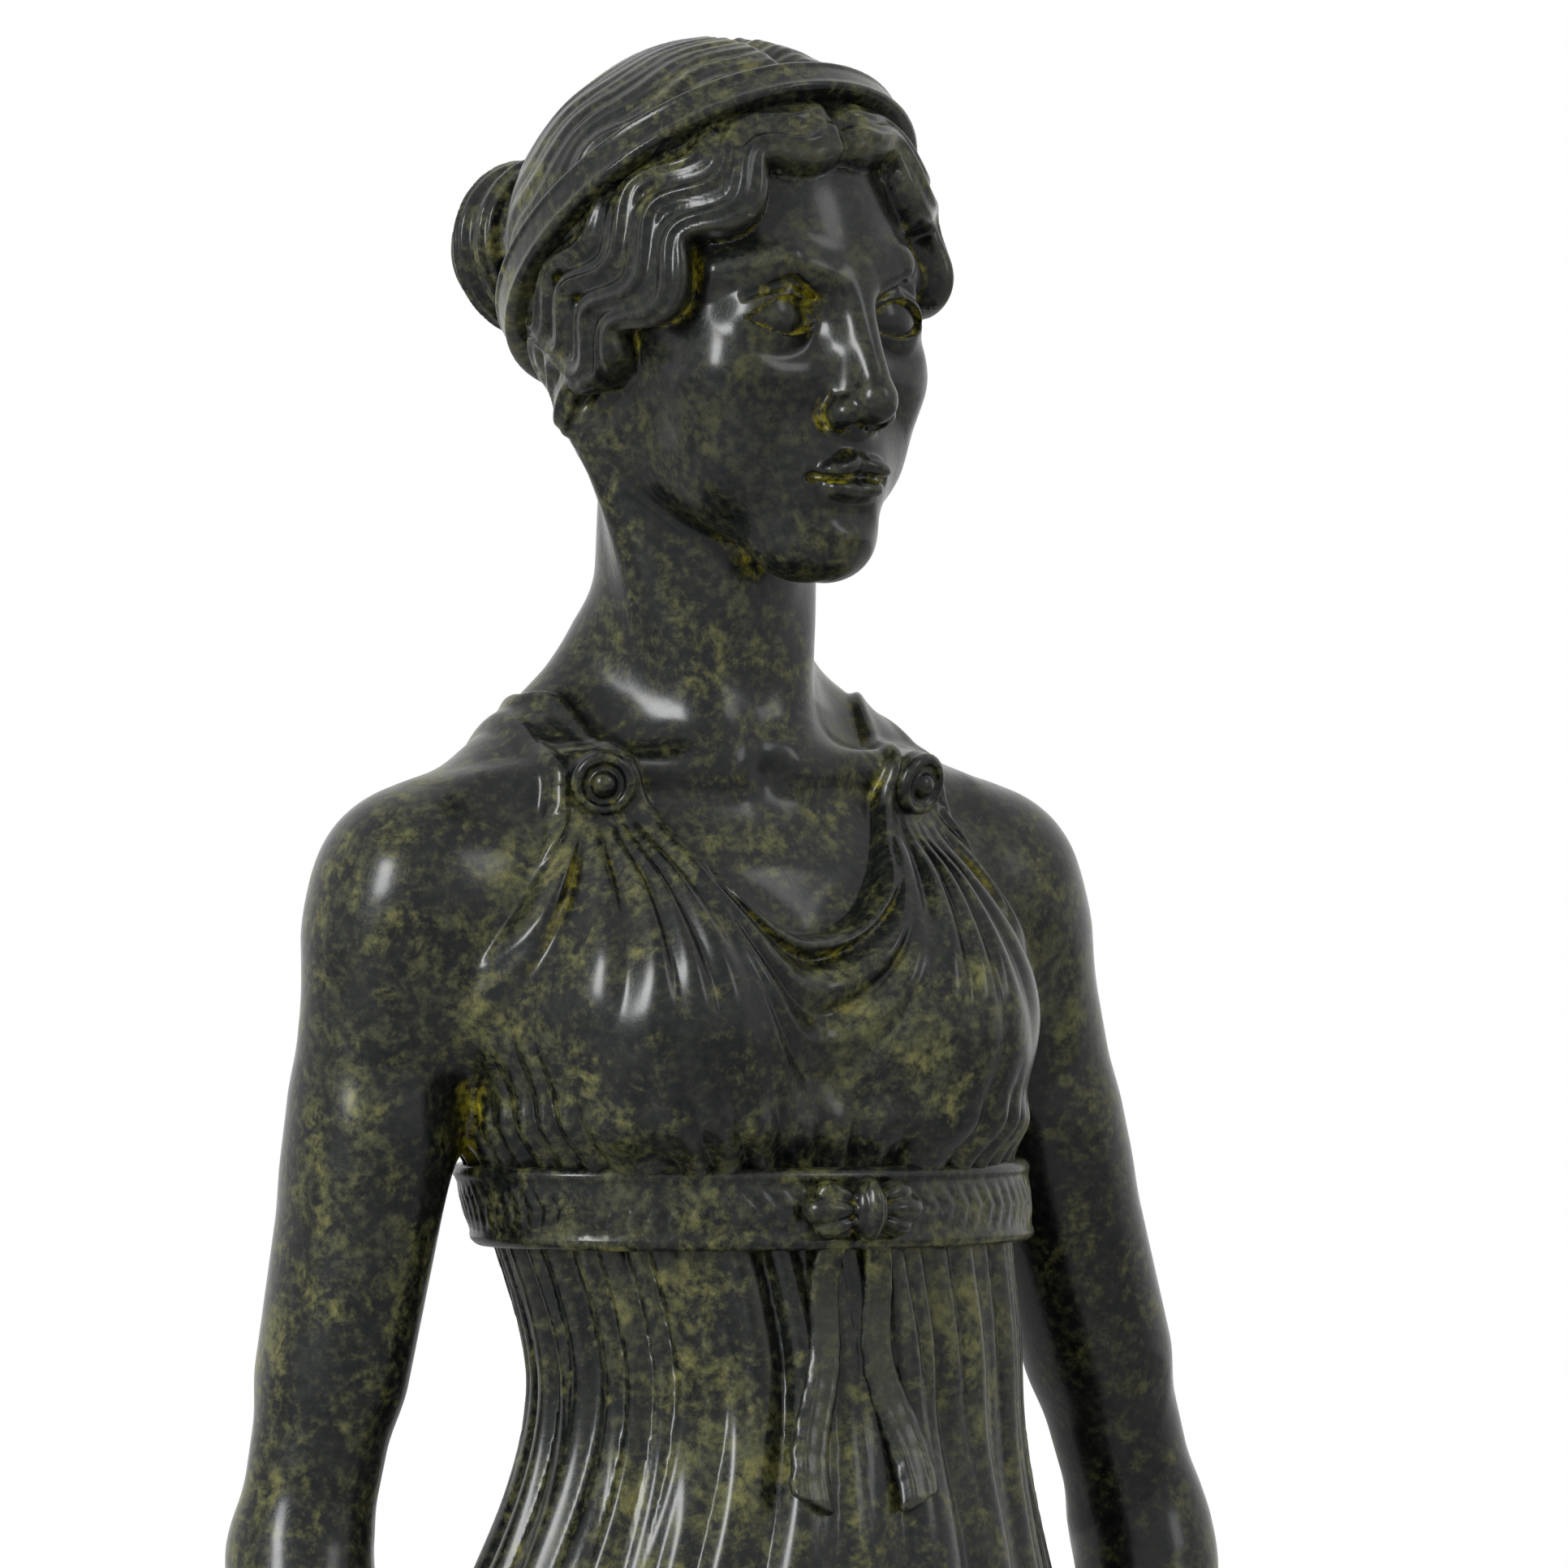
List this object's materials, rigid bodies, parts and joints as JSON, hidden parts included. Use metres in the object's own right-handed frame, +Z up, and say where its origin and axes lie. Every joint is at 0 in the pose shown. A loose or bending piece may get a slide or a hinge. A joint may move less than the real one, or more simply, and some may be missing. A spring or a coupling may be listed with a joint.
{
  "type": "bronze statuette",
  "caption": "Small patinated bronze statuette of a standing draped woman with high girdle and knotted hair, on a round base and square wood plinth.",
  "frame": {"origin": "middle of the underside of the felt pad, where the statuette meets the table", "axes": "+Z up along the height, -Y towards the figure's front, +X towards the figure's left"},
  "size_m": [0.1, 0.1, 0.3364],
  "materials": {
    "bronze": "dark patina, satin, waxed",
    "inner_brass": "as sawn",
    "steel": "zinc plated",
    "wood": "dark stain, satin wax",
    "felt": "matt"
  },
  "bodies": {
    "root": {"felt_pad": "felt", "wood_plinth": "wood", "mounting_screw": "steel", "mounting_washer": "steel", "bronze_base": "bronze", "gown_casting": "bronze", "right_foot_casting": "bronze", "left_foot_casting": "bronze", "right_base_pin": "inner_brass", "left_base_pin": "inner_brass", "torso_casting": "bronze", "waist_sleeve": "inner_brass", "right_waist_pin": "inner_brass", "left_waist_pin": "inner_brass", "girdle": "bronze", "girdle_knot": "bronze", "right_shoulder_clasp": "bronze", "left_shoulder_clasp": "bronze", "right_arm_casting": "bronze", "left_arm_casting": "bronze", "right_shoulder_dowel": "inner_brass", "left_shoulder_dowel": "inner_brass", "head_casting": "bronze", "neck_sleeve": "inner_brass", "neck_pin": "inner_brass", "hair_band": "bronze", "hair_knot": "bronze", "hair_knot_pin": "inner_brass"}
  },
  "joints": []
}
